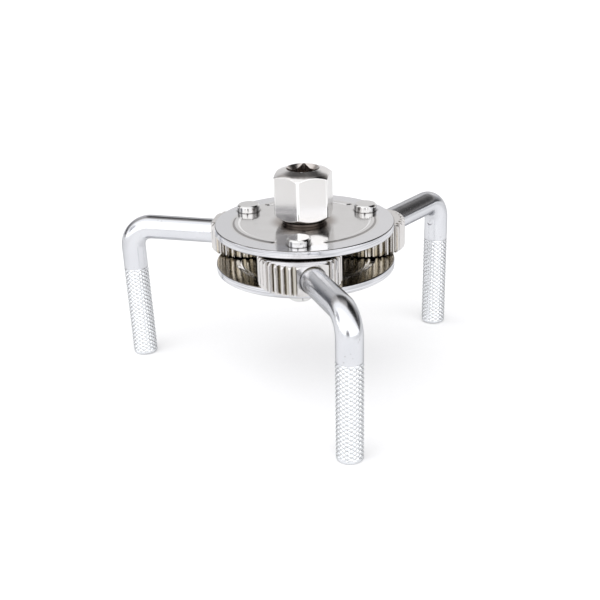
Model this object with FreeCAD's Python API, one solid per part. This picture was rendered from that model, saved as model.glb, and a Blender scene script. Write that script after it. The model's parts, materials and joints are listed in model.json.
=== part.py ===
import FreeCAD, Part
import math
import os

# Geared three-jaw oil filter wrench, in millimetres. The drive hub runs along +Z and its lower
# end face is at Z = 0. Turning the hub swings three bent legs together through a sun gear and
# three planet gears, which turn between two round plates on riveted pins.

# Plates and the gap between them
PLATE_RADIUS = 35.0
PLATE_THICKNESS = 3.1
PLATE_EDGE_BEVEL = 0.3
GEAR_GAP = 12.2
HUB_TAIL = 3.4

# Arc ribs pressed outward from both plates, one between each two rivets
RIB_INNER_RADIUS = 25.0
RIB_OUTER_RADIUS = 28.0
RIB_HEIGHT = 0.35
RIB_SIDE_WIDTH = 0.85
RIB_END_FROM_RIVET = 22.3

# Three pivots, the first at the front
PIVOT_COUNT = 3
PIVOT_CIRCLE_RADIUS = 27.0
FIRST_PIVOT_ANGLE = -90.0

# Riveted pins and the spacer bushes round them
PIN_RADIUS = 3.0
PIN_HOLE_CLEARANCE = 0.05
RIVET_HEAD_RADIUS = 4.5
UPPER_HEAD_HEIGHT = 2.8
LOWER_HEAD_HEIGHT = 2.9
RIVET_HEAD_BEVEL = 0.6
BUSH_RADIUS = 4.5
GEAR_BORE_CLEARANCE = 0.06

# Gears
GEAR_MODULE = 0.9
PRESSURE_ANGLE = math.radians(20.0)
SUN_TEETH = 27
PLANET_TEETH = 33
ADDENDUM = 1.0 * GEAR_MODULE
DEDENDUM = 1.25 * GEAR_MODULE
FLANK_RELIEF = 0.09
GEAR_THICKNESS = 11.4
TOOTH_END_BEVEL = 0.7

# Flat pad on a planet gear, and the round socket in it that holds the leg
PAD_DISTANCE = 14.5
PAD_HALF_ANGLE = 25.0
SOCKET_DEPTH_STOP = 6.6
SOCKET_FIT = 0.02
SOCKET_MOUTH_BEVEL = 0.45

# Bent legs
ROD_RADIUS = 4.9
ARM_SWING = 23.8
ARM_LENGTH = 50.0
ARM_RISES = (math.radians(0.4), math.radians(2.0), math.radians(2.0))
ARM_LEVEL_AT = 10.5
LEG_LEAN = math.radians(1.7)
BEND_RADIUS = 8.3
FOOT_DROP = 42.6
GRIP_RADIUS = 5.0
GRIP_LENGTH = 38.2
GRIP_BEVEL = 0.15
FOOT_BEVEL = 0.6

# Hexagon drive head with a square socket in its top
HEX_ACROSS_FLATS = 21.0
HEX_VERTEX_ANGLE = 23.6
HEX_BOTTOM_Z = 23.0
HEX_TOP_Z = 43.3
HEX_RIM_RADIUS = 6.45
CROWN_SLOPE = math.radians(20.0)
CROWN_EDGE_RADIUS = 9.9
CORNER_SLOPE = math.radians(36.0)
HEX_FOOT_RADIUS = 8.9
HEX_FOOT_SLOPE = math.radians(41.0)
HEX_CORNER_ROUND = 1.2
HEX_SCALLOP_ROUND = 0.35
SQUARE_SIDE = 9.6
SQUARE_CORNER_RADIUS = 0.8
SQUARE_DEPTH = 12.5
SQUARE_CORNER_ANGLE = 90.0
SQUARE_LEAD_RADIUS = 4.9
DETENT_RADIUS = 1.8
DETENT_DEPTH = 0.9
DETENT_FROM_TOP = 6.3
DRILL_RADIUS = 4.4
DRILL_EXTRA_DEPTH = 2.5

# Hub shaft, its key, two washers and retaining ring
UPPER_WASHER_RADIUS = 8.2
UPPER_WASHER_END_PLAY = 0.05
SHAFT_RADIUS = 7.0
SHAFT_HOLE_CLEARANCE = 0.05
SHAFT_END_BEVEL = 0.6
PUSH_FIT = 0.01
KEY_WIDTH = 4.0
KEY_HEIGHT = 4.0
KEY_LENGTH = 10.0
KEYSEAT_DEPTH = 2.5
KEY_ANGLE = 83.6
RING_GROOVE_RADIUS = 6.7
RING_THICKNESS = 1.0
RING_OUTER_RADIUS = 8.7
RING_GAP_HALF_ANGLE = 24.0
RING_LUG_RADIUS = 1.7
RING_LUG_CENTRE = 9.1
RING_EYE_RADIUS = 0.8
LOWER_WASHER_THICKNESS = 0.7
LOWER_WASHER_RADIUS = 12.0
LOWER_WASHER_END_PLAY = 0.15

# Heights that follow from the sizes above
LOWER_PLATE_Z = HUB_TAIL
GAP_BOTTOM_Z = LOWER_PLATE_Z + PLATE_THICKNESS
GAP_TOP_Z = GAP_BOTTOM_Z + GEAR_GAP
TOP_PLATE_TOP_Z = GAP_TOP_Z + PLATE_THICKNESS
GEAR_MIDDLE_Z = GAP_BOTTOM_Z + GEAR_GAP / 2
GEAR_BOTTOM_Z = GEAR_MIDDLE_Z - GEAR_THICKNESS / 2
UPPER_WASHER_Z = TOP_PLATE_TOP_Z + UPPER_WASHER_END_PLAY
LOWER_WASHER_Z = LOWER_PLATE_Z - LOWER_WASHER_END_PLAY - LOWER_WASHER_THICKNESS
RING_Z = LOWER_WASHER_Z - RING_THICKNESS

ORIGIN = FreeCAD.Vector(0, 0, 0)
UP = FreeCAD.Vector(0, 0, 1)
BEYOND = 2.0


def vector(x, y, z=0.0):
    """A point or direction."""
    return FreeCAD.Vector(x, y, z)


def polar(radius, angle, z=0.0):
    """The point at a radius and an angle in degrees about the Z axis."""
    turn = math.radians(angle)
    return vector(radius * math.cos(turn), radius * math.sin(turn), z)


def turned(shape, angle):
    """A copy of a shape turned about the Z axis by an angle in degrees."""
    copy = shape.copy()
    copy.rotate(ORIGIN, UP, angle)
    return copy


def disc(radius, z, height):
    """A plain cylinder about the Z axis."""
    return Part.makeCylinder(radius, height, vector(0, 0, z))


def revolved(profile):
    """The solid that a closed (radius, z) outline sweeps about the Z axis."""
    points = [vector(radius, 0, z) for radius, z in profile]
    outline = Part.makePolygon(points + points[:1])
    return Part.Face(outline).revolve(ORIGIN, UP, 360)


def bevelled_disc(radius, z, height, lower_bevel, upper_bevel):
    """A cylinder about the Z axis whose two edges carry 45 degree bevels."""
    top = z + height
    profile = [(0, z), (radius - lower_bevel, z)]
    if lower_bevel:
        profile.append((radius, z + lower_bevel))
    profile.append((radius, top - upper_bevel))
    if upper_bevel:
        profile.append((radius - upper_bevel, top))
    profile.append((0, top))
    return revolved(profile)


def pivot_angle(index):
    """Angle of a pivot about the drive axis, in degrees."""
    return FIRST_PIVOT_ANGLE + index * 360.0 / PIVOT_COUNT


def at_each_pivot(shape):
    """Copies of a shape, one moved out to every pivot."""
    copies = []
    for index in range(PIVOT_COUNT):
        copy = shape.copy()
        copy.translate(polar(PIVOT_CIRCLE_RADIUS, pivot_angle(index)))
        copies.append(copy)
    return copies


def on_pivot(shape, index):
    """A part that is modelled about its pivot with its arm along +X, set in place."""
    placed = turned(shape, pivot_angle(index) + ARM_SWING)
    placed.translate(polar(PIVOT_CIRCLE_RADIUS, pivot_angle(index)))
    return placed


def plain_plate(z):
    """A round plate with the hub's hole and the three rivet holes."""
    body = bevelled_disc(PLATE_RADIUS, z, PLATE_THICKNESS, PLATE_EDGE_BEVEL, PLATE_EDGE_BEVEL)
    hole_z = z - BEYOND
    hole_height = PLATE_THICKNESS + 2 * BEYOND
    rivet_hole = disc(PIN_RADIUS + PIN_HOLE_CLEARANCE, hole_z, hole_height)
    hub_hole = disc(SHAFT_RADIUS + SHAFT_HOLE_CLEARANCE, hole_z, hole_height)
    return body.cut([hub_hole] + at_each_pivot(rivet_hole))


def arc_rib(start_angle, sweep):
    """One rib standing on level zero: a bar with sloping sides along an arc, and round ends."""
    middle = (RIB_INNER_RADIUS + RIB_OUTER_RADIUS) / 2
    half_width = (RIB_OUTER_RADIUS - RIB_INNER_RADIUS) / 2
    crest = half_width - RIB_SIDE_WIDTH
    section = Part.makePolygon([
        vector(middle - half_width, 0, -RIB_HEIGHT),
        vector(middle + half_width, 0, -RIB_HEIGHT),
        vector(middle + half_width, 0, 0),
        vector(middle + crest, 0, RIB_HEIGHT),
        vector(middle - crest, 0, RIB_HEIGHT),
        vector(middle - half_width, 0, 0),
        vector(middle - half_width, 0, -RIB_HEIGHT)])
    bar = turned(Part.Face(section).revolve(ORIGIN, UP, sweep), start_angle)
    end = revolved([
        (0, -RIB_HEIGHT),
        (half_width, -RIB_HEIGHT),
        (half_width, 0),
        (crest, RIB_HEIGHT),
        (0, RIB_HEIGHT)])
    ends = []
    for angle in (start_angle, start_angle + sweep):
        cap = end.copy()
        cap.translate(polar(middle, angle))
        ends.append(cap)
    return bar.fuse(ends)


def ribs_on(level, upward):
    """Three ribs standing on a level or hanging from it, one between each two rivets."""
    sweep = 360.0 / PIVOT_COUNT - 2 * RIB_END_FROM_RIVET
    ribs = []
    for index in range(PIVOT_COUNT):
        rib = arc_rib(pivot_angle(index) + RIB_END_FROM_RIVET, sweep)
        if not upward:
            rib = rib.mirror(ORIGIN, UP)
        rib.translate(vector(0, 0, level))
        ribs.append(rib)
    return ribs


def pressed_plate(z, upward):
    """A plate with ribs pressed out of one face, which leave grooves in the other face."""
    top_z = z + PLATE_THICKNESS
    rib_level = top_z if upward else z
    groove_level = z if upward else top_z
    plate = plain_plate(z).cut(ribs_on(groove_level, upward))
    return plate.fuse(ribs_on(rib_level, upward)).removeSplitter()


def pivot_pin():
    """A rivet through both plates, headed at each end, about its own axis."""
    shank_top = TOP_PLATE_TOP_Z
    head_top = shank_top + UPPER_HEAD_HEIGHT
    head_bottom = LOWER_PLATE_Z - LOWER_HEAD_HEIGHT
    return revolved([
        (0, head_bottom),
        (RIVET_HEAD_RADIUS - RIVET_HEAD_BEVEL, head_bottom),
        (RIVET_HEAD_RADIUS, head_bottom + RIVET_HEAD_BEVEL),
        (RIVET_HEAD_RADIUS, LOWER_PLATE_Z),
        (PIN_RADIUS, LOWER_PLATE_Z),
        (PIN_RADIUS, shank_top),
        (RIVET_HEAD_RADIUS, shank_top),
        (RIVET_HEAD_RADIUS, head_top - RIVET_HEAD_BEVEL),
        (RIVET_HEAD_RADIUS - RIVET_HEAD_BEVEL, head_top),
        (0, head_top)])


def pivot_bush():
    """The sleeve round a pin that spaces the plates and carries a planet gear."""
    bore = disc(PIN_RADIUS + PIN_HOLE_CLEARANCE, GAP_BOTTOM_Z - BEYOND, GEAR_GAP + 2 * BEYOND)
    return disc(BUSH_RADIUS, GAP_BOTTOM_Z, GEAR_GAP).cut(bore)


def involute(angle):
    """The involute function of a pressure angle."""
    return math.tan(angle) - angle


def gap_half_angle(teeth, radius):
    """Half the angle, in degrees, between two neighbouring teeth at a radius."""
    pitch_radius = GEAR_MODULE * teeth / 2
    base_radius = pitch_radius * math.cos(PRESSURE_ANGLE)
    tooth_at_pitch = (math.pi * GEAR_MODULE / 2 - FLANK_RELIEF) / (2 * pitch_radius)
    pressure = math.acos(min(1.0, base_radius / radius))
    tooth = tooth_at_pitch + involute(PRESSURE_ANGLE) - involute(pressure)
    return math.degrees(math.pi / teeth - tooth)


def gap_cutter(teeth):
    """The prism between two involute flanks, centred on +X, that cuts one tooth gap."""
    pitch_radius = GEAR_MODULE * teeth / 2
    root = pitch_radius - DEDENDUM
    base = pitch_radius * math.cos(PRESSURE_ANGLE)
    tip = pitch_radius + ADDENDUM
    halfway = (base + tip) / 2
    outside = tip + BEYOND
    z = GEAR_BOTTOM_Z - BEYOND

    def corner(radius, side, at):
        return polar(radius, side * gap_half_angle(teeth, at), z)

    edges = [
        Part.Arc(corner(root, -1, base), polar(root, 0, z), corner(root, 1, base)),
        Part.LineSegment(corner(root, 1, base), corner(base, 1, base)),
        Part.Arc(corner(base, 1, base), corner(halfway, 1, halfway), corner(tip, 1, tip)),
        Part.LineSegment(corner(tip, 1, tip), corner(outside, 1, tip)),
        Part.LineSegment(corner(outside, 1, tip), corner(outside, -1, tip)),
        Part.LineSegment(corner(outside, -1, tip), corner(tip, -1, tip)),
        Part.Arc(corner(tip, -1, tip), corner(halfway, -1, halfway), corner(base, -1, base)),
        Part.LineSegment(corner(base, -1, base), corner(root, -1, base))]
    outline = Part.Wire([edge.toShape() for edge in edges])
    return Part.Face(outline).extrude(vector(0, 0, GEAR_THICKNESS + 2 * BEYOND))


def toothed_disc(teeth, untoothed_half_angle):
    """A bevelled disc with tooth gaps all round, except about +X where it stays whole."""
    tip = GEAR_MODULE * teeth / 2 + ADDENDUM
    blank = bevelled_disc(tip, GEAR_BOTTOM_Z, GEAR_THICKNESS, TOOTH_END_BEVEL, TOOTH_END_BEVEL)
    cutter = gap_cutter(teeth)
    pitch = 360.0 / teeth
    gaps = []
    for number in range(teeth):
        angle = (number + 0.5) * pitch
        if min(angle, 360.0 - angle) > untoothed_half_angle:
            gaps.append(turned(cutter, angle))
    return blank.cut(gaps)


def sun_turn():
    """Turn of the sun gear that puts a gap on the planet tooth nearest the line of centres."""
    planet_pitch = 360.0 / PLANET_TEETH
    sun_pitch = 360.0 / SUN_TEETH
    to_sun = 180.0 - ARM_SWING
    tooth = round(to_sun / planet_pitch) * planet_pitch
    gap = pivot_angle(0) - (tooth - to_sun) * PLANET_TEETH / SUN_TEETH
    return gap - sun_pitch / 2


def keyway(outer_reach):
    """A slot along the hub at the key's angle, from the keyseat's floor out to a radius."""
    floor = SHAFT_RADIUS - KEYSEAT_DEPTH
    slot = Part.makeBox(
        outer_reach - floor, KEY_WIDTH + 2 * PUSH_FIT, KEY_LENGTH + 2 * PUSH_FIT,
        vector(floor, -KEY_WIDTH / 2 - PUSH_FIT, GEAR_MIDDLE_Z - KEY_LENGTH / 2 - PUSH_FIT))
    return turned(slot, KEY_ANGLE)


def drive_key():
    """The parallel key that locks the sun gear to the hub."""
    key = Part.makeBox(
        KEY_HEIGHT, KEY_WIDTH, KEY_LENGTH,
        vector(SHAFT_RADIUS - KEYSEAT_DEPTH + PUSH_FIT, -KEY_WIDTH / 2,
               GEAR_MIDDLE_Z - KEY_LENGTH / 2))
    return turned(key, KEY_ANGLE)


def sun_gear():
    """The central gear, bored and keyed for the hub shaft."""
    gear = turned(toothed_disc(SUN_TEETH, 0.0), sun_turn())
    bore = disc(SHAFT_RADIUS + PUSH_FIT, GEAR_BOTTOM_Z - BEYOND, GEAR_THICKNESS + 2 * BEYOND)
    key_top = SHAFT_RADIUS - KEYSEAT_DEPTH + KEY_HEIGHT + 2 * PUSH_FIT
    slot = keyway(key_top)
    slot_length = Part.makeBox(
        key_top, KEY_WIDTH + 2 * PUSH_FIT, GEAR_THICKNESS + 2 * BEYOND,
        vector(0, -KEY_WIDTH / 2 - PUSH_FIT, GEAR_BOTTOM_Z - BEYOND))
    return gear.cut([bore, slot, turned(slot_length, KEY_ANGLE)])


def arm_point(rise, distance):
    """A point on the arm's centreline at a distance from the pivot."""
    height = (distance - ARM_LEVEL_AT) * math.tan(rise)
    return vector(distance, 0, GEAR_MIDDLE_Z + height)


def arm_direction(rise):
    """The arm's direction, away from the pivot."""
    return vector(math.cos(rise), 0, math.sin(rise))


def leg_direction():
    """The direction of the leg below the bend: down, and leaning in towards its pivot."""
    return vector(-math.sin(LEG_LEAN), 0, -math.cos(LEG_LEAN))


def foot_centre(rise):
    """The centre of the foot's flat end, set so that its lowest edge is at the foot height."""
    edge_drop = (GRIP_RADIUS - FOOT_BEVEL) * math.sin(LEG_LEAN)
    corner = arm_point(rise, ARM_LENGTH)
    down = (corner.z + FOOT_DROP - edge_drop) / math.cos(LEG_LEAN)
    return corner + leg_direction() * down


def planet_gear(rise):
    """A planet gear about its pivot, with its pad and leg socket towards +X."""
    gear = toothed_disc(PLANET_TEETH, PAD_HALF_ANGLE)
    bore = disc(BUSH_RADIUS + GEAR_BORE_CLEARANCE, GEAR_BOTTOM_Z - BEYOND,
                GEAR_THICKNESS + 2 * BEYOND)
    mill = Part.makeBox(
        PAD_DISTANCE, 4 * PAD_DISTANCE, GEAR_THICKNESS + 2 * BEYOND,
        vector(PAD_DISTANCE, -2 * PAD_DISTANCE, GEAR_BOTTOM_Z - BEYOND))
    radius = ROD_RADIUS + SOCKET_FIT
    socket = Part.makeCylinder(
        radius, PAD_DISTANCE, arm_point(rise, SOCKET_DEPTH_STOP), arm_direction(rise))
    mouth = Part.makeCone(
        radius, radius + 2 * SOCKET_MOUTH_BEVEL, 2 * SOCKET_MOUTH_BEVEL,
        arm_point(rise, PAD_DISTANCE - SOCKET_MOUTH_BEVEL), arm_direction(rise))
    return gear.cut([bore, mill, socket, mouth])


def leg(rise):
    """One bent rod about its pivot: an arm, a bend and a leg that ends in a round grip."""
    start = arm_point(rise, SOCKET_DEPTH_STOP + SOCKET_FIT)
    corner = arm_point(rise, ARM_LENGTH)
    bend = math.acos(arm_direction(rise).dot(leg_direction()))
    tangent = BEND_RADIUS * math.tan(bend / 2)
    arc_start = corner - arm_direction(rise) * tangent
    arc_end = corner + leg_direction() * tangent
    inward = (leg_direction() - arm_direction(rise)).normalize()
    centre = corner + inward * (BEND_RADIUS / math.cos(bend / 2))
    arc_middle = centre - inward * BEND_RADIUS
    path = Part.Wire([
        Part.LineSegment(start, arc_start).toShape(),
        Part.Arc(arc_start, arc_middle, arc_end).toShape(),
        Part.LineSegment(arc_end, foot_centre(rise)).toShape()])
    section = Part.Wire(Part.makeCircle(ROD_RADIUS, start, arm_direction(rise)))
    rod = path.makePipeShell([section], True, True)
    return rod.fuse(grip(rise)).removeSplitter()


def grip(rise):
    """The round grip at the lower end of a leg, bevelled at its top and at the foot."""
    profile = [
        (0, 0),
        (GRIP_RADIUS - FOOT_BEVEL, 0),
        (GRIP_RADIUS, FOOT_BEVEL),
        (GRIP_RADIUS, GRIP_LENGTH - GRIP_BEVEL),
        (GRIP_RADIUS - GRIP_BEVEL, GRIP_LENGTH),
        (0, GRIP_LENGTH)]
    body = revolved(profile)
    body.rotate(ORIGIN, vector(0, 1, 0), math.degrees(LEG_LEAN))
    body.translate(foot_centre(rise))
    return body


def hex_prism():
    """The six-sided body of the drive head, before its ends are turned."""
    radius = HEX_ACROSS_FLATS / math.sqrt(3)
    corners = [polar(radius, HEX_VERTEX_ANGLE + 60 * side, HEX_BOTTOM_Z) for side in range(7)]
    prism = Part.Face(Part.makePolygon(corners)).extrude(vector(0, 0, HEX_TOP_Z - HEX_BOTTOM_Z))
    upright = [edge for edge in prism.Edges if abs(edge.tangentAt(0).z) > 0.5]
    return prism.makeFillet(HEX_CORNER_ROUND, upright)


def hex_envelope():
    """The turned outline of the head: crowned above and coned below."""
    outer = HEX_ACROSS_FLATS / math.sqrt(3) + BEYOND
    crown_z = HEX_TOP_Z - (CROWN_EDGE_RADIUS - HEX_RIM_RADIUS) * math.tan(CROWN_SLOPE)
    corner_z = crown_z - (outer - CROWN_EDGE_RADIUS) * math.tan(CORNER_SLOPE)
    foot_z = HEX_BOTTOM_Z + (outer - HEX_FOOT_RADIUS) * math.tan(HEX_FOOT_SLOPE)
    return revolved([
        (0, HEX_BOTTOM_Z),
        (HEX_FOOT_RADIUS, HEX_BOTTOM_Z),
        (outer, foot_z),
        (outer, corner_z),
        (CROWN_EDGE_RADIUS, crown_z),
        (HEX_RIM_RADIUS, HEX_TOP_Z),
        (0, HEX_TOP_Z)])


def square_socket():
    """The square hole in the head, with its coned mouth, drilled end and detent hollows."""
    half = SQUARE_SIDE / 2
    floor_z = HEX_TOP_Z - SQUARE_DEPTH
    block = Part.makeBox(SQUARE_SIDE, SQUARE_SIDE, SQUARE_DEPTH + BEYOND,
                         vector(-half, -half, floor_z))
    upright = [edge for edge in block.Edges if abs(edge.tangentAt(0).z) > 0.5]
    block = block.makeFillet(SQUARE_CORNER_RADIUS, upright)
    lead_depth = HEX_RIM_RADIUS - SQUARE_LEAD_RADIUS
    lead = revolved([
        (0, HEX_TOP_Z - lead_depth),
        (SQUARE_LEAD_RADIUS, HEX_TOP_Z - lead_depth),
        (HEX_RIM_RADIUS, HEX_TOP_Z),
        (HEX_RIM_RADIUS, HEX_TOP_Z + BEYOND),
        (0, HEX_TOP_Z + BEYOND)])
    drill_floor = floor_z - DRILL_EXTRA_DEPTH
    drill = revolved([
        (0, drill_floor - DRILL_RADIUS / 2),
        (DRILL_RADIUS, drill_floor),
        (DRILL_RADIUS, floor_z + BEYOND),
        (0, floor_z + BEYOND)])
    detents = []
    for side in range(4):
        centre = polar(half + DETENT_DEPTH - DETENT_RADIUS, side * 90,
                       HEX_TOP_Z - DETENT_FROM_TOP)
        detents.append(Part.makeSphere(DETENT_RADIUS, centre))
    tool = block.fuse([lead, drill] + detents)
    return turned(tool, SQUARE_CORNER_ANGLE - 45)


def scallop_edges(head):
    """The curved edges where the head's turned ends meet its flats and rounded corners."""
    found = []
    for edge in head.Edges:
        sides = [type(face.Surface) for face in head.ancestorsOfType(edge, Part.Face)]
        level = edge.BoundBox.ZLength < BEYOND / 1000
        if Part.Cone in sides and sides.count(Part.Cone) == 1 and not level:
            found.append(edge)
    return found


def hex_head():
    """The hexagon head with its rounded corners and ends, still without its socket."""
    head = hex_prism().common(hex_envelope()).removeSplitter()
    return head.makeFillet(HEX_SCALLOP_ROUND, scallop_edges(head))


def drive_hex():
    """The hub in one piece: hexagon head, and shaft down through both plates."""
    head = hex_head()
    shaft = bevelled_disc(SHAFT_RADIUS, 0, HEX_BOTTOM_Z, SHAFT_END_BEVEL, 0)
    groove = disc(SHAFT_RADIUS + BEYOND, RING_Z, RING_THICKNESS)
    groove = groove.cut(disc(RING_GROOVE_RADIUS, RING_Z, RING_THICKNESS))
    body = head.fuse(shaft).removeSplitter()
    return body.cut([groove, keyway(SHAFT_RADIUS + BEYOND), square_socket()])


def washer(radius, z, thickness):
    """A flat washer on the hub shaft."""
    bore = disc(SHAFT_RADIUS + SHAFT_HOLE_CLEARANCE, z - BEYOND, thickness + 2 * BEYOND)
    return disc(radius, z, thickness).cut(bore)


def retaining_ring():
    """The open spring ring in the shaft's groove, with an eyed lug at each end."""
    ring = disc(RING_OUTER_RADIUS, RING_Z, RING_THICKNESS)
    reach = RING_OUTER_RADIUS + BEYOND
    opening = Part.Face(Part.makePolygon([
        vector(0, 0, RING_Z),
        polar(reach, -RING_GAP_HALF_ANGLE, RING_Z),
        polar(reach, RING_GAP_HALF_ANGLE, RING_Z),
        vector(0, 0, RING_Z)])).extrude(vector(0, 0, RING_THICKNESS))
    ring = ring.cut(opening)
    eyes = []
    for side in (-1, 1):
        lug = disc(RING_LUG_RADIUS, RING_Z, RING_THICKNESS)
        eye = disc(RING_EYE_RADIUS, RING_Z, RING_THICKNESS)
        place = polar(RING_LUG_CENTRE, side * RING_GAP_HALF_ANGLE)
        lug.translate(place)
        eye.translate(place)
        ring = ring.fuse(lug)
        eyes.append(eye)
    inside = disc(RING_GROOVE_RADIUS + PUSH_FIT, RING_Z, RING_THICKNESS)
    return turned(ring.removeSplitter().cut([inside] + eyes), KEY_ANGLE)


def build_parts():
    """Every named piece of the wrench, in its place at rest."""
    parts = {
        "top_plate": pressed_plate(GAP_TOP_Z, True),
        "bottom_plate": pressed_plate(LOWER_PLATE_Z, False),
        "drive_hex": drive_hex(),
        "sun_gear": sun_gear(),
        "drive_key": drive_key(),
        "upper_washer": washer(
            UPPER_WASHER_RADIUS, UPPER_WASHER_Z, HEX_BOTTOM_Z - UPPER_WASHER_Z),
        "lower_washer": washer(
            LOWER_WASHER_RADIUS, LOWER_WASHER_Z, LOWER_WASHER_THICKNESS),
        "retaining_ring": retaining_ring()}
    for number, pin in enumerate(at_each_pivot(pivot_pin()), 1):
        parts[f"pivot_pin_{number}"] = pin
    for number, bush in enumerate(at_each_pivot(pivot_bush()), 1):
        parts[f"pivot_bush_{number}"] = bush
    for index, rise in enumerate(ARM_RISES):
        parts[f"planet_gear_{index + 1}"] = on_pivot(planet_gear(rise), index)
        parts[f"leg_{index + 1}"] = on_pivot(leg(rise), index)
    return parts


def write_parts():
    """Write one STEP file for each piece and print its volume."""
    os.makedirs("parts", exist_ok=True)
    for name, shape in build_parts().items():
        solid = shape.Solids[0] if len(shape.Solids) == 1 else shape
        solid.exportStep(f"parts/{name}.step")
        print(f"{name}: {len(shape.Solids)} solid, {shape.Volume:.1f} mm3, valid {shape.isValid()}")


write_parts()
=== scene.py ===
import json
import math

import bpy
from mathutils import Matrix, Vector


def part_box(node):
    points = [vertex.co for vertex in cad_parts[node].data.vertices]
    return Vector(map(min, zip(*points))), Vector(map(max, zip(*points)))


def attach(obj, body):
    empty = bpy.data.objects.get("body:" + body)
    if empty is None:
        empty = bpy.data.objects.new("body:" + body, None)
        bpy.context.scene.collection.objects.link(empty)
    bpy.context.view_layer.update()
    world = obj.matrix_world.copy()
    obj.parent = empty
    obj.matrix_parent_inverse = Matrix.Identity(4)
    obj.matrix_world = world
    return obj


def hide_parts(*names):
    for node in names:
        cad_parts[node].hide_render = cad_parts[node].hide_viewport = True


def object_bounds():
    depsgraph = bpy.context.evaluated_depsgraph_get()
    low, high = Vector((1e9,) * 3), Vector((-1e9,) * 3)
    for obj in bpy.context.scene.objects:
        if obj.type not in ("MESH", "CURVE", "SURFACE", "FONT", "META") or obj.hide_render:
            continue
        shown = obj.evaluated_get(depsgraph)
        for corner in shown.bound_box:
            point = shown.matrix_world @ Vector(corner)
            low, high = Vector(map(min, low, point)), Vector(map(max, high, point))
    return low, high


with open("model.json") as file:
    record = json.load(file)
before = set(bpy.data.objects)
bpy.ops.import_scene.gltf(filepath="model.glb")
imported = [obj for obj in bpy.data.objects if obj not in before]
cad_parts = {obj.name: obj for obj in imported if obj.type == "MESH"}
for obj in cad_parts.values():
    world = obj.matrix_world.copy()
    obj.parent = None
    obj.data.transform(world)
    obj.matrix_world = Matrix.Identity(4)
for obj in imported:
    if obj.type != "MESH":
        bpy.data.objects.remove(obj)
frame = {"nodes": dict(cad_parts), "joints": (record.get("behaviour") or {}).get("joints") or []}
cad_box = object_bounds()
HEAD_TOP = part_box("drive_hex")[1].z

MM = 0.001

# Camera
AIM = Vector((-2.7, -0.25, -11.4)) * MM
CAMERA_DISTANCE = 473.0 * MM
CAMERA_AZIMUTH = math.radians(5.1)
CAMERA_ELEVATION = math.radians(22.3)
CAMERA_ROLL = math.radians(-1.88)
LENS = 70.9
SENSOR = 36.0

# The room, seen from the wrench. Heights run in degrees from the horizon behind it (0)
# over the top (90) to the horizon in front (180); soft edges are pairs of them.
WORLD_STRENGTH = 1.2
WALL_TOP = (27.0, 42.0)
CEILING_FADE = (50.0, 80.0)
RIGHT_CEILING_FADE = (34.0, 80.0)
SOFTBOX_SLANT = 28.0
SOFTBOX_RIM = (80.0, 90.0)
SOFTBOX_CORE = (106.0, 138.0)

# The camera's stand and a gap beside the softbox: directions, and half angles in degrees
STAND_DIRECTION = (-0.10, -0.99, 0.06)
STAND_ANGLES = (17.0, 8.0)
GAP_DIRECTION = (-0.90, -0.24, 0.37)
GAP_ANGLES = (16.0, 9.0)

# The ceiling lamp
LAMP_HEIGHT = 2.0
LAMP_SIZE = 4.0
LAMP_POWER = 34.0

# The card underfoot: its reach, its share of lamp light, and its glow from beneath
CARD_REACH = 6.0
CARD_SHARE = 0.7
CARD_GLOW = 0.34

# Where painted shade makes the card greyer out to the sides, up to a distance behind the wrench
SHADE_LEFT = {"start": 125.0 * MM, "end": 260.0 * MM, "depth": 0.15}
SHADE_RIGHT = {"start": 170.0 * MM, "end": 320.0 * MM, "depth": 0.32}
SHADE_BACK = (50.0 * MM, 350.0 * MM)

# How bright a metal stays where it is seen nearly edge on
SATIN_EDGE = 0.84
POLISHED_EDGE = 0.5

# Plates: the middle of the ribs, the plain margin, and the painted shade round the hub
PLATE_RADIUS = 35.0 * MM
RIB_RADIUS = 26.5 * MM
RIB_REACH = 2.0 * MM
MARGIN_START = (28.0 * MM, 29.5 * MM)
HUB_SHADE_RING = (9.0 * MM, 14.5 * MM)

# Hub: the socket's stain and its painted shade, how deep they go, and the hexagon's rounded
# corners with their painted highlight
SOCKET_STAIN_AND_SHADE = (6.1 * MM, 6.7 * MM)
SOCKET_SHADE_FADE = (9.0 * MM, 1.0 * MM)
STAIN_AND_SHADE_BOTTOM = (19.0 * MM, 18.0 * MM)
HEX_CORNERS = (11.72 * MM, 11.84 * MM)

# Bent rods, about their pivots
PIVOT_COUNT = 3
ARM_SWING = math.radians(23.8)
ROD_RADIUS = 4.89 * MM
ROD_START = 6.62 * MM
ARM_LENGTH = 50.0 * MM
ARM_RISES = (math.radians(0.4), math.radians(2.0), math.radians(2.0))
ARM_LEVEL_AT = 10.5 * MM
LEG_LEAN = math.radians(1.7)
BEND_RADIUS = 8.3 * MM
BEND_FLATTENING = 0.025

# Knurled grips
GRIP_RADIUS = 4.99 * MM
GRIP_LENGTH = 38.2 * MM
FOOT_ROUND = 0.6 * MM
FOOT_RINGS = 6
FOOT_BAND = 1.1 * MM
FOOT_BAND_RADIUS = 4.89 * MM
STEP_LENGTH = 0.5 * MM
STEP_RADIUS = 4.74 * MM
KNURL_STARTS = 11
KNURL_PITCH = 1.72 * MM
KNURL_DEPTH = 0.34 * MM
KNURL_PIT = 0.1 * MM
KNURL_GROOVE = 0.3
KNURL_SAMPLES = 10
KNURL_FADE = 0.5 * MM

# The bending tool's mark on each leg
DENT_HEIGHT = 46.8 * MM
DENT_RADIUS = 1.5 * MM
DENT_EDGE = 0.45 * MM
DENT_DEPTH = 0.2 * MM
DENT_SPACING = 0.22 * MM

# Rings of the rod mesh
RING_SPACING = 1.5 * MM
BEND_RINGS = 30
ROD_SIDES = KNURL_STARTS * KNURL_SAMPLES

# How far apart the legs' surface patterns are taken, so that no two legs look alike
PATTERN_SHIFT = 0.3


# ---------------------------------------------------------------- node helpers

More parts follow.
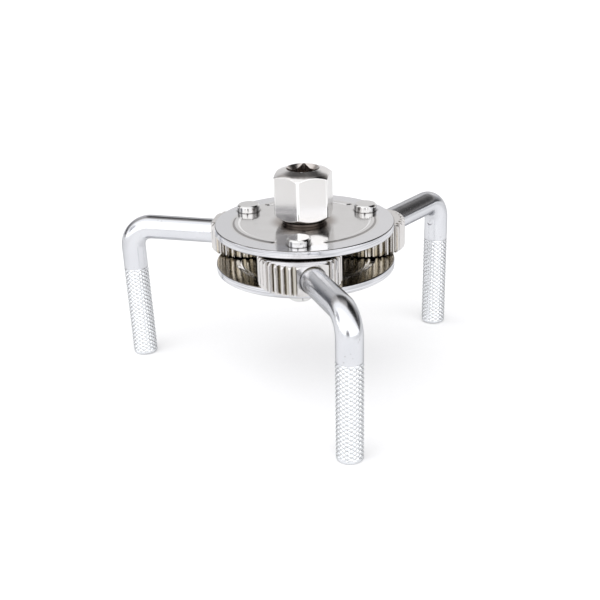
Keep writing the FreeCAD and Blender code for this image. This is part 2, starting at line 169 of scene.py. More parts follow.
def add(tree, kind, inputs=None, **properties):
    """A new node with its properties set, and each input set or linked."""
    node = tree.nodes.new(kind)
    for name, value in properties.items():
        setattr(node, name, value)
    for key, value in (inputs or {}).items():
        if isinstance(value, bpy.types.NodeSocket):
            tree.links.new(value, node.inputs[key])
        else:
            node.inputs[key].default_value = value
    return node


def maths(tree, operation, first, second=0.0, third=0.5, clamp=False):
    """One Math node's result."""
    node = add(tree, "ShaderNodeMath", {0: first, 1: second, 2: third}, operation=operation)
    node.use_clamp = clamp
    return node.outputs[0]


def vector_maths(tree, operation, first, second=(0.0, 0.0, 0.0)):
    """One Vector Math node's vector result."""
    node = add(tree, "ShaderNodeVectorMath", {0: first, 1: second}, operation=operation)
    return node.outputs["Vector"]


def noise(tree, vector, scale, detail=2.0, roughness=0.5, distortion=0.0):
    """A noise value from 0 to 1."""
    node = add(tree, "ShaderNodeTexNoise", {
        "Vector": vector, "Scale": scale, "Detail": detail,
        "Roughness": roughness, "Distortion": distortion})
    return node.outputs[0]


def cells(tree, vector, scale):
    """The distance to the nearest of many scattered points."""
    node = add(tree, "ShaderNodeTexVoronoi", {"Vector": vector, "Scale": scale})
    return node.outputs["Distance"]


def remap(tree, value, low, high, to_low=0.0, to_high=1.0):
    """A value brought smoothly from one range to another."""
    node = add(tree, "ShaderNodeMapRange", {
        "Value": value, "From Min": low, "From Max": high,
        "To Min": to_low, "To Max": to_high}, interpolation_type="SMOOTHSTEP")
    return node.outputs[0]


def mixed(tree, factor, first, second):
    """Two colours mixed."""
    node = add(tree, "ShaderNodeMix", {0: factor, 6: first, 7: second}, data_type="RGBA")
    return node.outputs[2]


def stretched(tree, vector, scale):
    """A vector scaled on each axis."""
    return vector_maths(tree, "MULTIPLY", vector, scale)


def bump(tree, height, distance, strength=1.0, normal=None):
    """A normal tilted by a height in units of distance."""
    inputs = {"Height": height, "Distance": distance, "Strength": strength}
    if normal is not None:
        inputs["Normal"] = normal
    return add(tree, "ShaderNodeBump", inputs).outputs[0]


def closeness(tree, distance):
    """How open the surface is to its surroundings: 0 in a crevice, 1 in the open."""
    node = add(tree, "ShaderNodeAmbientOcclusion", {"Distance": distance}, samples=8)
    return node.outputs["AO"]


def rgb(red, green, blue):
    """A colour with full alpha."""
    return (red, green, blue, 1.0)


def new_material(name):
    """An empty node material and its tree."""
    material = bpy.data.materials.new(name)
    material.use_nodes = True
    material.node_tree.nodes.clear()
    return material, material.node_tree


def finish_metal(tree, colour, roughness, normal, edge_on=SATIN_EDGE):
    """The shader and output of a metal."""
    shader = add(tree, "ShaderNodeBsdfPrincipled", {
        "Base Color": colour, "Roughness": roughness, "Normal": normal, "Metallic": 1.0,
        "Specular Tint": rgb(edge_on, edge_on, edge_on)})
    add(tree, "ShaderNodeOutputMaterial", {"Surface": shader.outputs[0]})


def object_place(tree):
    """The place on a piece, in metres, which moves with the piece."""
    return add(tree, "ShaderNodeTexCoord").outputs["Object"]


def distance_from_axis(tree, place, centre):
    """The distance from an upright axis through a centre."""
    offset = vector_maths(tree, "SUBTRACT", place, centre)
    flat = vector_maths(tree, "MULTIPLY", offset, (1.0, 1.0, 0.0))
    return add(tree, "ShaderNodeVectorMath", {0: flat}, operation="LENGTH").outputs["Value"]


# ---------------------------------------------------------------- materials

def scratches(tree, place, scale):
    """Sparse fine scratches, 1 on a scratch."""
    fine = noise(tree, stretched(tree, place, scale), 1.0, 3.0, 0.6, 0.2)
    return remap(tree, fine, 0.66, 0.7)


def band(tree, value, low, high, soft):
    """1 between two values and 0 outside them, with soft ends."""
    rise = remap(tree, value, low - soft, low + soft)
    return maths(tree, "MULTIPLY", rise, remap(tree, value, high - soft, high + soft, 1.0, 0.0))


def rib_sides(tree, radius):
    """The outer and the inner sides of the pressed ribs, which take painted shade and a painted
    highlight.
    """
    normal = add(tree, "ShaderNodeNewGeometry").outputs["True Normal"]
    upright = maths(tree, "ABSOLUTE", add(tree, "ShaderNodeSeparateXYZ", {0: normal}).outputs[2])
    sloping = band(tree, upright, 0.87, 0.965, 0.01)
    outer = band(tree, radius, RIB_RADIUS, RIB_RADIUS + RIB_REACH, 0.1 * MM)
    inner = band(tree, radius, RIB_RADIUS - RIB_REACH, RIB_RADIUS, 0.1 * MM)
    return maths(tree, "MULTIPLY", sloping, outer), maths(tree, "MULTIPLY", sloping, inner)


def plate_material():
    """Hazy chrome over a brushed face, with a dark line at the rim and oil between the plates;
    painted shade in crevices, on the ribs' outer sides and round the hub, and a painted
    highlight on the ribs' inner sides.
    """
    material, tree = new_material("plate_chrome")
    place = object_place(tree)
    height_up = add(tree, "ShaderNodeSeparateXYZ", {0: place}).outputs[2]
    radius = distance_from_axis(tree, place, (0.0, 0.0, 0.0))
    haze = noise(tree, place, 95.0, 4.0, 0.6)
    brushing = noise(tree, stretched(tree, place, (420.0, 5200.0, 5200.0)), 1.0, 2.0)
    ripple = noise(tree, place, 160.0, 1.0)
    marks = scratches(tree, place, (300.0, 3000.0, 800.0))
    crevice = remap(tree, closeness(tree, 1.2 * MM), 0.45, 0.97, 1.0, 0.0)
    face = mixed(tree, haze, rgb(0.60, 0.592, 0.585), rgb(0.76, 0.755, 0.755))
    outer = remap(tree, radius, *MARGIN_START)
    face = mixed(tree, maths(tree, "MULTIPLY", outer, 0.6), face, rgb(0.70, 0.71, 0.745))
    rim = remap(tree, radius, PLATE_RADIUS - 0.06 * MM, PLATE_RADIUS - 0.02 * MM)
    turning = noise(tree, stretched(tree, place, (60.0, 60.0, 2600.0)), 1.0, 3.0)
    face = mixed(tree, rim, face, mixed(tree, remap(tree, turning, 0.35, 0.62),
                                        rgb(0.50, 0.505, 0.53), rgb(0.74, 0.745, 0.77)))
    low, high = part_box("bottom_plate")[1].z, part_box("top_plate")[0].z
    inside = band(tree, height_up, low - 0.1 * MM, high + 0.1 * MM, 0.05 * MM)
    oil_film_and_shade = noise(tree, place, 130.0, 4.0, 0.65)
    oil = mixed(tree, oil_film_and_shade, rgb(0.56, 0.49, 0.35), rgb(0.34, 0.29, 0.20))
    colour = mixed(tree, maths(tree, "MULTIPLY", inside, 0.8), face, oil)
    # A dark line just inside the plate's edge, mottled by the haze.
    edge_line = band(tree, radius, PLATE_RADIUS - 0.32 * MM, PLATE_RADIUS - 0.04 * MM, 0.03 * MM)
    edge_line = maths(tree, "MULTIPLY", edge_line, remap(tree, haze, 0.30, 0.48, 0.35, 0.85))
    colour = mixed(tree, edge_line, colour, rgb(0.12, 0.11, 0.105))
    # Painted shade: a brown ring round the hub, under the hex.
    ring = remap(tree, radius, *HUB_SHADE_RING, 0.85, 0.0)
    ring = maths(tree, "MULTIPLY", ring, remap(tree, oil_film_and_shade, 0.3, 0.6, 0.75, 1.0))
    colour = mixed(tree, ring, colour, rgb(0.20, 0.16, 0.13))
    rib_shade, rib_highlight = rib_sides(tree, radius)
    # Painted shade: darker in crevices found by occlusion, and on the ribs' outer sides.
    crevice_and_rib_shade = maths(tree, "MAXIMUM", maths(tree, "MULTIPLY", crevice, 0.85),
                 maths(tree, "MULTIPLY", rib_shade, 0.6))
    colour = mixed(tree, crevice_and_rib_shade, colour, rgb(0.09, 0.078, 0.07))
    # Painted highlight: the ribs' inner sides made nearly white.
    colour = mixed(tree, maths(tree, "MULTIPLY", rib_highlight, 0.8), colour, rgb(0.95, 0.95, 0.95))
    roughness = remap(tree, haze, 0.3, 0.75, 0.11, 0.22)
    roughness = maths(tree, "ADD", roughness, maths(tree, "MULTIPLY", marks, 0.1))
    height = maths(tree, "ADD", maths(tree, "MULTIPLY", brushing, 0.6), marks)
    height = maths(tree, "ADD", height, maths(tree, "MULTIPLY", turning, rim))
    normal = bump(tree, ripple, 0.24 * MM, 0.25)
    normal = bump(tree, height, 0.006 * MM, 0.6, normal)
    finish_metal(tree, colour, roughness, normal)
    return material


def gear_material(index, centre, tip):
    """Bright plate on a gear, with old oil in the tooth gaps, laid only where the gaps are
    enclosed, so darkened partly as painted shade.
    """
    material, tree = new_material(f"gear_chrome_{index}")
    place = object_place(tree)
    haze = noise(tree, place, 140.0, 3.0, 0.6)
    cutting = noise(tree, stretched(tree, place, (5200.0, 5200.0, 300.0)), 1.0, 2.0)
    radius = distance_from_axis(tree, place, centre)
    root = remap(tree, radius, tip - 1.9 * MM, tip - 0.5 * MM, 1.0, 0.0)
    crevice = remap(tree, closeness(tree, 1.6 * MM), 0.25, 0.85, 1.0, 0.0)
    # Oil in the tooth gaps, laid only where occlusion finds them enclosed: partly painted shade.
    oil_film_and_shade = maths(tree, "MULTIPLY", root, maths(tree, "MULTIPLY", crevice, 0.9))
    oil = mixed(tree, haze, rgb(0.34, 0.295, 0.18), rgb(0.17, 0.145, 0.085))
    bright = mixed(tree, haze, rgb(0.61, 0.59, 0.575), rgb(0.69, 0.68, 0.675))
    colour = mixed(tree, oil_film_and_shade, bright, oil)
    roughness = remap(tree, haze, 0.3, 0.75, 0.10, 0.24)
    normal = bump(tree, haze, 0.10 * MM, 0.3)
    normal = bump(tree, cutting, 0.006 * MM, 0.6, normal)
    finish_metal(tree, colour, roughness, normal)
    return material


def hub_material():
    """Satin nickel with faint turning marks, a brown stain inside the socket made darker further
    in as painted shade, rounded corners brightened as polish and painted highlight, and painted
    shade in its crevices.
    """
    material, tree = new_material("hub_nickel")
    place = object_place(tree)
    haze = noise(tree, place, 120.0, 4.0, 0.6)
    grain = noise(tree, stretched(tree, place, (900.0, 900.0, 6000.0)), 1.0, 3.0)
    marks = scratches(tree, place, (1500.0, 1500.0, 240.0))
    radius = distance_from_axis(tree, place, (0.0, 0.0, 0.0))
    # The socket's brown stain, made darker further in as painted shade.
    inside = remap(tree, radius, *SOCKET_STAIN_AND_SHADE, 1.0, 0.0)
    height_up = add(tree, "ShaderNodeSeparateXYZ", {0: place}).outputs[2]
    deep = remap(tree, height_up, *(HEAD_TOP - depth for depth in SOCKET_SHADE_FADE), 1.0, 0.35)
    in_head = remap(tree, height_up, *(HEAD_TOP - depth for depth in STAIN_AND_SHADE_BOTTOM))
    stain_and_shade = maths(tree, "MULTIPLY", inside, maths(tree, "MULTIPLY", deep, in_head))
    crevice = remap(tree, closeness(tree, 1.5 * MM), 0.3, 0.9, 1.0, 0.0)
    bright = mixed(tree, haze, rgb(0.72, 0.705, 0.69), rgb(0.79, 0.78, 0.775))
    # Rounded corners made brighter and smoother: partly polish, partly a painted highlight.
    edge = remap(tree, radius, *HEX_CORNERS)
    bright = mixed(tree, edge, bright, rgb(0.95, 0.94, 0.93))
    colour = mixed(tree, stain_and_shade, bright, rgb(0.30, 0.20, 0.14))
    # Painted shade in crevices found by occlusion.
    colour = mixed(tree, maths(tree, "MULTIPLY", crevice, 0.5), colour, rgb(0.09, 0.07, 0.06))
    roughness = remap(tree, haze, 0.3, 0.75, 0.14, 0.24)
    roughness = maths(tree, "ADD", roughness, maths(tree, "MULTIPLY", stain_and_shade, 0.12))
    roughness = maths(tree, "SUBTRACT", roughness, maths(tree, "MULTIPLY", edge, 0.06))
    height = maths(tree, "ADD", maths(tree, "MULTIPLY", grain, 0.7), marks)
    normal = bump(tree, haze, 0.08 * MM, 0.3)
    normal = bump(tree, height, 0.007 * MM, 0.6, normal)
    finish_metal(tree, colour, roughness, normal)
    return material


def leg_material():
    """Bright zinc on drawn bar: fine lines along the rod, small pits, and painted shade in the
    knurl's grooves.
    """
    material, tree = new_material("leg_zinc")
    rod = add(tree, "ShaderNodeAttribute", attribute_name="straight").outputs["Vector"]
    cloud = noise(tree, stretched(tree, rod, (1.0, 1.0, 0.6)), 110.0, 4.0, 0.55)
    drawing = noise(tree, stretched(tree, rod, (3600.0, 3600.0, 90.0)), 1.0, 2.0)
    rolls = noise(tree, rod, 300.0, 1.0)
    dots = cells(tree, rod, 620.0)
    sparse = remap(tree, noise(tree, rod, 210.0, 1.0), 0.52, 0.6)
    pits = maths(tree, "MULTIPLY", remap(tree, dots, 0.10, 0.2, 1.0, 0.0), sparse)
    marks = scratches(tree, rod, (420.0, 420.0, 3800.0))
    radius = distance_from_axis(tree, rod, (0.0, 0.0, 0.0))
    grip = remap(tree, add(tree, "ShaderNodeAttribute", attribute_name="grip").outputs["Fac"],
                 0.4, 0.6)
    # Painted shade at the bottom of the knurl's grooves.
    crossing = remap(tree, radius, GRIP_RADIUS - 0.42 * MM, GRIP_RADIUS - 0.31 * MM, 1.0, 0.0)
    groove_shade = maths(tree, "MULTIPLY", maths(tree, "MULTIPLY", crossing, grip), 0.85)
    bright = mixed(tree, cloud, rgb(0.64, 0.652, 0.685), rgb(0.755, 0.762, 0.785))
    bright = mixed(tree, grip, bright, rgb(0.75, 0.765, 0.785))
    colour = mixed(tree, groove_shade, bright, rgb(0.16, 0.15, 0.15))
    colour = mixed(tree, maths(tree, "MULTIPLY", pits, 0.5), colour, rgb(0.30, 0.29, 0.29))
    roughness = remap(tree, cloud, 0.3, 0.72, 0.15, 0.27)
    roughness = maths(tree, "ADD", roughness, maths(tree, "MULTIPLY", marks, 0.08))
    height = maths(tree, "SUBTRACT", maths(tree, "MULTIPLY", drawing, 0.5), pits)
    normal = bump(tree, rolls, 0.05 * MM, 0.4)
    normal = bump(tree, height, 0.012 * MM, 0.7, normal)
    finish_metal(tree, colour, roughness, normal, POLISHED_EDGE)
    return material


def rivet_material():
    """Bright chrome on a peened head, with painted shade in its crevices."""
    material, tree = new_material("rivet_chrome")
    place = object_place(tree)
    haze = noise(tree, place, 260.0, 3.0, 0.6)
    peening = noise(tree, place, 700.0, 2.0)
    crevice = remap(tree, closeness(tree, 0.9 * MM), 0.3, 0.9, 1.0, 0.0)
    bright = mixed(tree, haze, rgb(0.62, 0.61, 0.60), rgb(0.72, 0.72, 0.72))
    # Painted shade in crevices found by occlusion.
    colour = mixed(tree, maths(tree, "MULTIPLY", crevice, 0.7), bright, rgb(0.07, 0.06, 0.055))
    roughness = remap(tree, haze, 0.3, 0.7, 0.08, 0.2)
    normal = bump(tree, peening, 0.05 * MM, 0.35)
    finish_metal(tree, colour, roughness, normal)
    return material


def steel_material(name, dark, bright, smooth, rough):
    """Turned steel with an uneven finish and painted shade in its crevices."""
    material, tree = new_material(name)
    place = object_place(tree)
    haze = noise(tree, place, 220.0, 4.0, 0.6)
    turning = noise(tree, stretched(tree, place, (700.0, 700.0, 5000.0)), 1.0, 2.0)
    crevice = remap(tree, closeness(tree, 0.8 * MM), 0.3, 0.9, 1.0, 0.0)
    colour = mixed(tree, haze, dark, bright)
    # Painted shade in crevices found by occlusion.
    colour = mixed(tree, maths(tree, "MULTIPLY", crevice, 0.6), colour, rgb(0.03, 0.025, 0.02))
    roughness = remap(tree, haze, 0.3, 0.7, smooth, rough)
    normal = bump(tree, turning, 0.012 * MM, 0.6)
    finish_metal(tree, colour, roughness, normal)
    return material


def side_shade(tree, across, back, start, end, depth):
    """How light the floor is, which falls off slowly beside the wrench."""
    beside = remap(tree, across, start, end)
    near = remap(tree, back, *SHADE_BACK, 1.0, 0.0)
    shade = maths(tree, "MULTIPLY", maths(tree, "MULTIPLY", beside, near), depth)
    return maths(tree, "SUBTRACT", 1.0, shade)


def floor_material():
    """Pale card with a faint tooth, lit a little from beneath, and greyer out to the sides with
    painted shade.
    """
    material, tree = new_material("pale_floor")
    place = object_place(tree)
    across, back, _ = add(tree, "ShaderNodeSeparateXYZ", {0: place}).outputs
    tooth = noise(tree, place, 900.0, 2.0)
    # Painted shade: greyer card to the left and right.
    left = side_shade(tree, maths(tree, "MULTIPLY", across, -1.0), back, **SHADE_LEFT)
    right = side_shade(tree, across, back, **SHADE_RIGHT)
    colour = mixed(tree, tooth, rgb(0.86, 0.86, 0.865), rgb(0.89, 0.89, 0.895))
    colour = vector_maths(tree, "MULTIPLY", colour, maths(tree, "MULTIPLY", left, right))
    card = vector_maths(tree, "MULTIPLY", colour, (CARD_SHARE, CARD_SHARE, CARD_SHARE))
    shader = add(tree, "ShaderNodeBsdfPrincipled", {
        "Base Color": card, "Roughness": 0.9, "Normal": bump(tree, tooth, 0.05 * MM, 0.2),
        "Emission Color": colour, "Emission Strength": CARD_GLOW})
    add(tree, "ShaderNodeOutputMaterial", {"Surface": shader.outputs[0]})
    return material


# ---------------------------------------------------------------- rod pieces

def pivot_of(number):
    """The pivot of a leg, on the arm's level."""
    low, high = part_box(f"planet_gear_{number}")
    joint = next(j for j in frame["joints"] if j["name"] == f"leg_{number}_swing")
    x, y, z = joint["pos_m"]
    return Vector((x, y, (low.z + high.z) / 2))


def arm_point(rise, distance):
    """A point on the arm's centreline: distance from the pivot, and height over its level."""
    return Vector((distance, 0.0, (distance - ARM_LEVEL_AT) * math.tan(rise)))


def rod_stations(rise, foot_z):
    """Points along the rod's centreline with the direction there, from socket to foot."""
    arm = Vector((math.cos(rise), 0.0, math.sin(rise)))
    leg = Vector((-math.sin(LEG_LEAN), 0.0, -math.cos(LEG_LEAN)))
    corner = arm_point(rise, ARM_LENGTH)
    turn = arm.angle(leg)
    tangent = BEND_RADIUS * math.tan(turn / 2)
    edge_drop = (GRIP_RADIUS - FOOT_ROUND) * math.sin(LEG_LEAN)
    foot = corner + leg * ((corner.z - foot_z - edge_drop) / math.cos(LEG_LEAN))
    bend_start = corner - arm * tangent
    bend_end = corner + leg * tangent
    start = arm_point(rise, ROD_START)
    stations = []
    length = (bend_start - start).length
    count = math.ceil(length / RING_SPACING)
    for step in range(count):
        stations.append((start + arm * (length * step / count), arm, 0.0))
    up = Vector((-arm.z, 0.0, arm.x))
    centre = bend_start - up * BEND_RADIUS
    for step in range(BEND_RINGS):
        angle = turn * step / BEND_RINGS
        radial = Matrix.Rotation(angle, 3, "Y") @ up
        direction = Matrix.Rotation(angle, 3, "Y") @ arm
        share = math.sin(math.pi * step / BEND_RINGS)
        stations.append((centre + radial * BEND_RADIUS, direction, share))
    length = (foot - bend_end).length
    heights = grip_heights(length)
    for height in heights:
        stations.append((foot - leg * height, leg, 0.0))
    return stations, len(stations) - len(heights), heights


def grip_heights(length):
    """Heights above the foot of the rings below the bend, from the bend down to the foot."""
    heights = []
    height = length
    while height > GRIP_LENGTH + STEP_LENGTH:
        heights.append(height)
        by_dent = abs(height - DENT_HEIGHT) < 2 * DENT_RADIUS
        height -= DENT_SPACING if by_dent else RING_SPACING / 2
    for share in (1.0, 0.75, 0.5, 0.25):
        heights.append(GRIP_LENGTH + STEP_LENGTH * share)
    spacing = KNURL_PITCH / KNURL_SAMPLES
    height = GRIP_LENGTH
    while height > FOOT_BAND:
        heights.append(height)
        height -= spacing
    heights.append(FOOT_BAND)
    heights.append((FOOT_BAND + FOOT_ROUND) / 2)
    for step in range(FOOT_RINGS + 1):
        heights.append(FOOT_ROUND * (1.0 - math.sin(math.pi / 2 * step / FOOT_RINGS)))
    return heights


def smooth_step(value, low, high):
    """0 below low and 1 above high, smoothly."""
    share = min(1.0, max(0.0, (value - low) / (high - low)))
    return share * share * (3.0 - 2.0 * share)


def dent_depth(height, angle):
    """How far the bending tool's round mark, on the inside of the leg, goes in."""
    away = abs(angle - math.pi) * ROD_RADIUS
    from_middle = math.hypot(height - DENT_HEIGHT, away)
    bowl = 1.0 - smooth_step(from_middle, DENT_RADIUS - DENT_EDGE, DENT_RADIUS)
    crown = 1.0 - smooth_step(from_middle, 0.0, DENT_RADIUS - DENT_EDGE)
    return DENT_DEPTH * (bowl - crown * 0.5)


def groove_depth(turns):
    """How deep one set of knurl grooves is, 1 along a groove's middle."""
    away = abs(turns - round(turns)) / KNURL_GROOVE
    return max(0.0, 1.0 - away)


def grip_radius(height, angle):
    """The grip's radius at a height above the foot and an angle round it."""
    if height > GRIP_LENGTH:
        away = abs(height - GRIP_LENGTH - STEP_LENGTH / 2) / (STEP_LENGTH / 2)
        return STEP_RADIUS + (ROD_RADIUS - STEP_RADIUS) * min(1.0, away)
    if height <= FOOT_ROUND:
        drop = 1.0 - height / FOOT_ROUND
        return FOOT_BAND_RADIUS - FOOT_ROUND * (1.0 - math.sqrt(max(0.0, 1.0 - drop * drop)))
    if height <= FOOT_BAND:
        return FOOT_BAND_RADIUS
    rows = height / KNURL_PITCH
    starts = KNURL_STARTS * angle / (2 * math.pi)
    first = groove_depth(rows + starts)
    second = groove_depth(rows - starts)
    cut = KNURL_DEPTH * max(first, second) + KNURL_PIT * first * second
    ends = smooth_step(height, FOOT_BAND, FOOT_BAND + KNURL_FADE)
    ends *= smooth_step(-height, -GRIP_LENGTH, KNURL_FADE / 2 - GRIP_LENGTH)
    return FOOT_BAND_RADIUS + (GRIP_RADIUS - cut - FOOT_BAND_RADIUS) * ends


def rod_mesh(number):
    """The bent rod's mesh about its pivot, with its straightened place kept on each point."""
    foot_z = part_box(f"leg_{number}")[0].z - pivot_of(number).z
    stations, grip_start, heights = rod_stations(ARM_RISES[number - 1], foot_z)
    points = []
    straight = []
    gripped = []
    side = Vector((0.0, 1.0, 0.0))
    along = 0.0
    previous = stations[0][0]
    for row, (centre, direction, share) in enumerate(stations):
        along += (centre - previous).length
        previous = centre
        up = Vector((-direction.z, 0.0, direction.x))
        height = heights[row - grip_start] if row >= grip_start else None
        for step in range(ROD_SIDES):
            angle = 2 * math.pi * step / ROD_SIDES
            radius = ROD_RADIUS
            if height is not None and height <= GRIP_LENGTH + STEP_LENGTH:
                radius = grip_radius(height, angle)
            elif height is not None:
                radius -= dent_depth(height, angle)
            flat = 1.0 - BEND_FLATTENING * share * max(0.0, math.cos(angle)) ** 2
            offset = up * (math.cos(angle) * flat) + side * math.sin(angle)
            points.append(centre + offset * radius)
            straight.append((radius * math.cos(angle), radius * math.sin(angle),
                             along + number * PATTERN_SHIFT))
            gripped.append(1.0 if height is not None and height <= GRIP_LENGTH else 0.0)
    faces = []
    for row in range(len(stations) - 1):
        for step in range(ROD_SIDES):
            after = (step + 1) % ROD_SIDES
            base = row * ROD_SIDES
            faces.append((base + step, base + after,
                          base + ROD_SIDES + after, base + ROD_SIDES + step))
    last = (len(stations) - 1) * ROD_SIDES
    faces.append(tuple(reversed(range(ROD_SIDES))))
    faces.append(tuple(last + step for step in range(ROD_SIDES)))
    mesh = bpy.data.meshes.new(f"leg_rod_{number}")
    mesh.from_pydata(points, [], faces)
    mesh.polygons.foreach_set("use_smooth", [True] * (len(faces) - 2) + [False] * 2)
    place = mesh.attributes.new("straight", "FLOAT_VECTOR", "POINT")
    place.data.foreach_set("vector", [value for point in straight for value in point])
    grip = mesh.attributes.new("grip", "FLOAT", "POINT")
    grip.data.foreach_set("value", gripped)
    return mesh


def make_leg(number, material):
    """A knurled leg in its place at rest, riding on its arm."""
    pivot = pivot_of(number)
    mesh = rod_mesh(number)
    turn = math.atan2(pivot.y, pivot.x) + ARM_SWING
    mesh.transform(Matrix.Translation(pivot) @ Matrix.Rotation(turn, 4, "Z"))
    mesh.materials.append(material)
    rod = bpy.data.objects.new(f"knurled_leg_{number}", mesh)
    bpy.context.scene.collection.objects.link(rod)
    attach(rod, f"leg_arm_{number}")
    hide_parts(f"leg_{number}")


# ---------------------------------------------------------------- carried-over nodes

def soften(node, width):
    """Small rounded edges on a carried-over node, with its flats kept flat."""
    weld = node.modifiers.new("weld", "WELD")
    weld.merge_threshold = 0.001 * MM
    bevel = node.modifiers.new("edges", "BEVEL")
    bevel.width = width
    bevel.segments = 2
    bevel.limit_method = "ANGLE"
    bevel.angle_limit = math.radians(28.0)
    bevel.use_clamp_overlap = True
    normals = node.modifiers.new("normals", "WEIGHTED_NORMAL")
    normals.keep_sharp = False


def dress(name, material, width):
    """Give a carried-over node its material and edges."""
    node = frame["nodes"][name]
    node.data.materials.clear()
    node.data.materials.append(material)
    if width:
        soften(node, width)


def dress_gears():
    """The sun gear and the three planet gears."""
    low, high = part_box("sun_gear")
    tip = (high.x - low.x) / 2
    dress("sun_gear", gear_material("sun", (0.0, 0.0, 0.0), tip), 0.08 * MM)
    for number in range(1, PIVOT_COUNT + 1):
        pivot = pivot_of(number)
        low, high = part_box(f"planet_gear_{number}")
        tip = max(high.x - low.x, high.y - low.y) / 2
        centre = (pivot.x, pivot.y, 0.0)
        dress(f"planet_gear_{number}", gear_material(number, centre, tip), 0.1 * MM)


def dress_frame():
    """Plates, rivets, bushes, hub and the pieces on its shaft."""
    plate = plate_material()
    dress("top_plate", plate, 0.1 * MM)
    dress("bottom_plate", plate, 0.1 * MM)
    dress("drive_hex", hub_material(), 0.1 * MM)
    rivet = rivet_material()
    bush = steel_material("bush_steel", rgb(0.28, 0.27, 0.26), rgb(0.45, 0.44, 0.43), 0.3, 0.5)
    for number in range(1, PIVOT_COUNT + 1):
        dress(f"pivot_pin_{number}", rivet, 0.15 * MM)
        dress(f"pivot_bush_{number}", bush, 0.0)
    washer = steel_material("washer_zinc", rgb(0.5, 0.5, 0.5), rgb(0.7, 0.7, 0.71), 0.25, 0.4)
    dress("lower_washer", washer, 0.06 * MM)
    black = steel_material("black_steel", rgb(0.03, 0.028, 0.026), rgb(0.08, 0.075, 0.07),
                           0.35, 0.55)
    browned = steel_material("washer_steel", rgb(0.10, 0.085, 0.075), rgb(0.20, 0.17, 0.15),
                             0.25, 0.4)
    dress("upper_washer", browned, 0.0)
    for name in ("retaining_ring", "drive_key"):
        dress(name, black, 0.0)


# ---------------------------------------------------------------- stage

def make_floor():
    """A wide pale floor under the feet."""
    height = cad_box[0][2]
    corners = [(-CARD_REACH, -CARD_REACH, height), (CARD_REACH, -CARD_REACH, height),
               (CARD_REACH, CARD_REACH, height), (-CARD_REACH, CARD_REACH, height)]
    mesh = bpy.data.meshes.new("floor")
    mesh.from_pydata(corners, [], [(0, 1, 2, 3)])
    mesh.materials.append(floor_material())
    floor = bpy.data.objects.new("floor", mesh)
    bpy.context.scene.collection.objects.link(floor)


def colour_ramp(tree, value, stops):
    """A colour that changes along a value from 0 to 1."""
    node = add(tree, "ShaderNodeValToRGB", {0: value})
    points = node.color_ramp.elements
    for position, _ in stops[1:-1]:
        points.new(position)
    for point, (position, colour) in zip(points, stops):
        point.position = position
        point.color = colour
    points[-1].position = stops[-1][0]
    return node.outputs[0]


def room_walls(tree, across):
    """The wall behind the wrench, brightest on the right and dark out to both sides."""
    return colour_ramp(tree, maths(tree, "MULTIPLY_ADD", across, 0.5, clamp=True), [
        (0.0, rgb(0.05, 0.052, 0.06)),
        (0.12, rgb(0.13, 0.133, 0.145)),
        (0.25, rgb(0.68, 0.68, 0.69)),
        (0.5, rgb(0.82, 0.81, 0.81)),
        (0.72, rgb(0.97, 0.96, 0.96)),
        (0.84, rgb(0.45, 0.45, 0.46)),
        (0.95, rgb(0.07, 0.07, 0.075))])


def dark_ceiling(tree, across, turn):
    """The ceiling: black straight ahead, grey on the left and low on the right."""
    height = remap(tree, turn, *CEILING_FADE, 0.045, 0.42)
    left = remap(tree, across, -0.36, -0.32, 0.34, 0.0)
    right = maths(tree, "MULTIPLY", remap(tree, across, 0.25, 0.32),
                  remap(tree, turn, *RIGHT_CEILING_FADE, 0.26, -0.40))
    level = maths(tree, "ADD", height, maths(tree, "ADD", left, right), clamp=True)
    return mixed(tree, level, rgb(0.0, 0.0, 0.0), rgb(1.0, 0.96, 0.94))


def softbox(tree, across, turn, behind):
    """The wide softbox over the front, which reaches further back on the left."""
    edge = maths(tree, "SUBTRACT", turn, maths(tree, "MULTIPLY", across, SOFTBOX_SLANT))
    rim = mixed(tree, remap(tree, edge, *SOFTBOX_RIM), behind, rgb(1.05, 1.05, 1.06))
    return mixed(tree, remap(tree, edge, *SOFTBOX_CORE), rim, rgb(1.8, 1.8, 1.82))


def spot(tree, direction, centre, angles, colour, patch):
    """A soft round patch over a colour, about a direction, between two half angles."""
    outer, inner = angles
    facing = add(tree, "ShaderNodeVectorMath", {0: direction, 1: Vector(centre).normalized()},
                 operation="DOT_PRODUCT").outputs["Value"]
    share = remap(tree, facing, math.cos(math.radians(outer)), math.cos(math.radians(inner)))
    return mixed(tree, share, colour, patch)


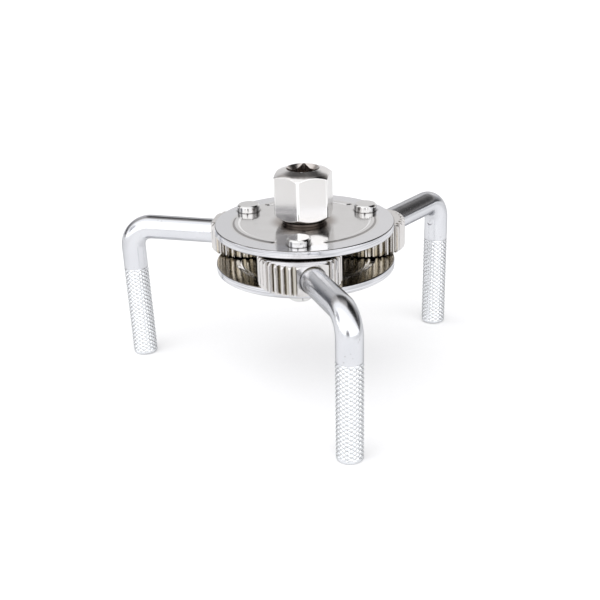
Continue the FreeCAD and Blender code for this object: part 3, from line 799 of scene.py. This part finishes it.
def make_world():
    """A bright room: light walls, a dark ceiling, and a wide softbox over the front."""
    world = bpy.data.worlds.new("studio")
    world.use_nodes = True
    tree = world.node_tree
    tree.nodes.clear()
    direction = add(tree, "ShaderNodeTexCoord").outputs["Generated"]
    across, back, up = add(tree, "ShaderNodeSeparateXYZ", {0: direction}).outputs
    turn = maths(tree, "DEGREES", maths(tree, "ARCTAN2", up, back))
    walls = room_walls(tree, across)
    ceiling = dark_ceiling(tree, across, turn)
    upper = mixed(tree, remap(tree, turn, *WALL_TOP), walls, ceiling)
    colour = softbox(tree, across, turn, upper)
    stand = rgb(0.06, 0.055, 0.06)
    gap = rgb(0.34, 0.34, 0.36)
    colour = spot(tree, direction, STAND_DIRECTION, STAND_ANGLES, colour, stand)
    colour = spot(tree, direction, GAP_DIRECTION, GAP_ANGLES, colour, gap)
    light = add(tree, "ShaderNodeBackground", {"Color": colour, "Strength": WORLD_STRENGTH})
    add(tree, "ShaderNodeOutputWorld", {"Surface": light.outputs[0]})
    bpy.context.scene.world = world


def make_light():
    """A wide soft lamp right over the wrench, kept out of the reflections."""
    data = bpy.data.lights.new("ceiling", "AREA")
    data.shape = "SQUARE"
    data.size = LAMP_SIZE
    data.energy = LAMP_POWER
    lamp = bpy.data.objects.new("ceiling", data)
    lamp.location = (0.0, 0.0, LAMP_HEIGHT)
    lamp.visible_glossy = False
    bpy.context.scene.collection.objects.link(lamp)


def make_camera():
    """The camera, at the wrench from the front and above."""
    data = bpy.data.cameras.new("camera")
    data.lens = LENS
    data.sensor_width = SENSOR
    data.clip_start = 10.0 * MM
    camera = bpy.data.objects.new("camera", data)
    azimuth = Matrix.Rotation(CAMERA_AZIMUTH, 4, "Z")
    tilt = Matrix.Rotation(math.pi / 2 - CAMERA_ELEVATION, 4, "X")
    roll = Matrix.Rotation(CAMERA_ROLL, 4, "Z")
    back = Matrix.Translation((0.0, 0.0, CAMERA_DISTANCE))
    camera.matrix_world = Matrix.Translation(AIM) @ azimuth @ tilt @ back @ roll
    bpy.context.scene.collection.objects.link(camera)
    bpy.context.scene.camera = camera


def set_exposure():
    """A plain display of the light, with no film look."""
    view = bpy.context.scene.view_settings
    view.view_transform = "Standard"
    view.look = "None"
    view.exposure = 0.0


make_camera()
make_world()
make_light()
make_floor()
set_exposure()
zinc = leg_material()
for leg_number in range(1, PIVOT_COUNT + 1):
    make_leg(leg_number, zinc)
dress_gears()
dress_frame()
